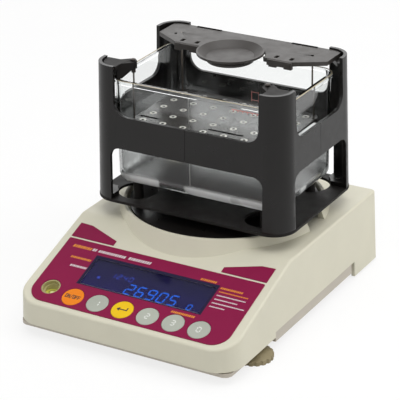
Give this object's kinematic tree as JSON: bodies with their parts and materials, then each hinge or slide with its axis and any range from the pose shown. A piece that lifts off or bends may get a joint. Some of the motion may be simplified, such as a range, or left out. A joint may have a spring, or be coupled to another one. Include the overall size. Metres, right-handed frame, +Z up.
{
  "type": "density tester for gold",
  "caption": "Counter-top electronic gold tester: sloped keypad base with a black frame, clear water tank, hanging tray and weighing dish.",
  "frame": {"origin": "on the ground under the middle of the bounding box", "axes": "+X to the user's right, +Y to the back, +Z up; the sloped key panel faces -Y"},
  "size_m": [0.1786, 0.2215, 0.1671],
  "materials": {
    "cream_abs": "satin moulded",
    "grey_abs": "satin moulded",
    "maroon_sheet": "printed sheet",
    "window_sheet": "tinted",
    "display_glass": "lit blue",
    "level_body": "satin",
    "level_fluid": "clear",
    "orange_key": "satin",
    "yellow_key": "satin",
    "grey_key": "satin",
    "green_board": "solder mask",
    "chip_black": "matt",
    "steel": "plated",
    "cell_aluminium": "milled",
    "brass_nut": "turned",
    "khaki_abs": "satin",
    "foot_rubber": "matt",
    "black_abs": "satin moulded",
    "rod_steel": "drawn",
    "clear_acrylic": "clear"
  },
  "bodies": {
    "base": {"top_cover": "cream_abs", "bottom_cover": "grey_abs", "panel_overlay": "maroon_sheet", "badge_left": "maroon_sheet", "badge_right": "maroon_sheet", "display_window": "window_sheet", "display_module": "display_glass", "level_cup": "level_body", "level_vial": "level_fluid", "key_board": "green_board", "key_switches": "chip_black", "board_screws": "steel", "main_board": "green_board", "main_chip": "chip_black", "load_cell": "cell_aluminium", "cell_block": "cell_aluminium", "cell_screws": "steel", "tank_posts": "black_abs", "dc_jack": "chip_black", "serial_port": "steel", "foot_nut_left": "brass_nut", "foot_nut_right": "brass_nut", "rear_foot_left": "foot_rubber", "rear_foot_right": "foot_rubber", "cover_screws": "steel"},
    "stage": {"pan_spider": "cell_aluminium", "spider_screws": "steel", "pan": "black_abs", "plate_ring": "black_abs", "frame_plate": "black_abs", "frame_corner_fl": "black_abs", "frame_corner_fr": "black_abs", "frame_corner_rl": "black_abs", "frame_corner_rr": "black_abs", "frame_screws": "steel"},
    "hanger": {"top_plate": "black_abs", "arm_left": "black_abs", "arm_right": "black_abs", "hanger_rods": "rod_steel", "rod_ferrules": "rod_steel", "tray": "black_abs"},
    "dish": {"air_dish": "black_abs"},
    "tank_body": {"tank": "clear_acrylic"},
    "stud_left": {"foot_stud_left": "steel"},
    "wheel_left": {"foot_wheel_left": "khaki_abs"},
    "stud_right": {"foot_stud_right": "steel"},
    "wheel_right": {"foot_wheel_right": "khaki_abs"},
    "key_power_body": {"key_power": "orange_key"},
    "key_mode_body": {"key_mode": "grey_key"},
    "key_enter_body": {"key_enter": "yellow_key"},
    "key_a_body": {"key_a": "grey_key"},
    "key_b_body": {"key_b": "grey_key"},
    "key_zero_body": {"key_zero": "grey_key"}
  },
  "joints": [
    {"name": "stage_press", "type": "slide", "parent": "base", "child": "stage", "axis": [0, 0, 1], "range_m": [-0.0003, 0], "stiffness_N_per_m": 20000, "springref_m": 0.0003},
    {"name": "tank_lift", "type": "slide", "parent": "base", "child": "tank_body", "axis": [0, 0, 1], "range_m": [0, 0.095]},
    {"name": "hanger_lift", "type": "slide", "parent": "stage", "child": "hanger", "axis": [0, 0, 1], "range_m": [0, 0.19]},
    {"name": "dish_lift", "type": "slide", "parent": "hanger", "child": "dish", "axis": [0, 0, 1], "range_m": [0, 0.04]},
    {"name": "key_power_press", "type": "slide", "parent": "base", "child": "key_power_body", "axis": [0, -0.3272, 0.9449], "range_m": [-0.0005, 0], "stiffness_N_per_m": 400, "springref_m": 0.0005},
    {"name": "key_mode_press", "type": "slide", "parent": "base", "child": "key_mode_body", "axis": [0, -0.3272, 0.9449], "range_m": [-0.0005, 0], "stiffness_N_per_m": 400, "springref_m": 0.0005},
    {"name": "key_enter_press", "type": "slide", "parent": "base", "child": "key_enter_body", "axis": [0, -0.3272, 0.9449], "range_m": [-0.0005, 0], "stiffness_N_per_m": 400, "springref_m": 0.0005},
    {"name": "key_a_press", "type": "slide", "parent": "base", "child": "key_a_body", "axis": [0, -0.3272, 0.9449], "range_m": [-0.0005, 0], "stiffness_N_per_m": 400, "springref_m": 0.0005},
    {"name": "key_b_press", "type": "slide", "parent": "base", "child": "key_b_body", "axis": [0, -0.3272, 0.9449], "range_m": [-0.0005, 0], "stiffness_N_per_m": 400, "springref_m": 0.0005},
    {"name": "key_zero_press", "type": "slide", "parent": "base", "child": "key_zero_body", "axis": [0, -0.3272, 0.9449], "range_m": [-0.0005, 0], "stiffness_N_per_m": 400, "springref_m": 0.0005},
    {"name": "foot_left_lift", "type": "slide", "parent": "base", "child": "stud_left", "axis": [0, 0, 1], "range_m": [-0.004, 0]},
    {"name": "foot_left_turn", "type": "hinge", "parent": "stud_left", "child": "wheel_left", "pos_m": [-0.076, -0.0628, 0], "axis": [0, 0, 1], "range_deg": [-1440, 0]},
    {"name": "foot_right_lift", "type": "slide", "parent": "base", "child": "stud_right", "axis": [0, 0, 1], "range_m": [-0.004, 0]},
    {"name": "foot_right_turn", "type": "hinge", "parent": "stud_right", "child": "wheel_right", "pos_m": [0.076, -0.0628, 0], "axis": [0, 0, 1], "range_deg": [-1440, 0]}
  ],
  "couplings": [
    {"joint": "hanger_lift", "follows": "tank_lift", "ratio": 2},
    {"joint": "foot_left_lift", "follows": "foot_left_turn", "m_per_rad": 0.00015915},
    {"joint": "foot_right_lift", "follows": "foot_right_turn", "m_per_rad": 0.00015915}
  ]
}
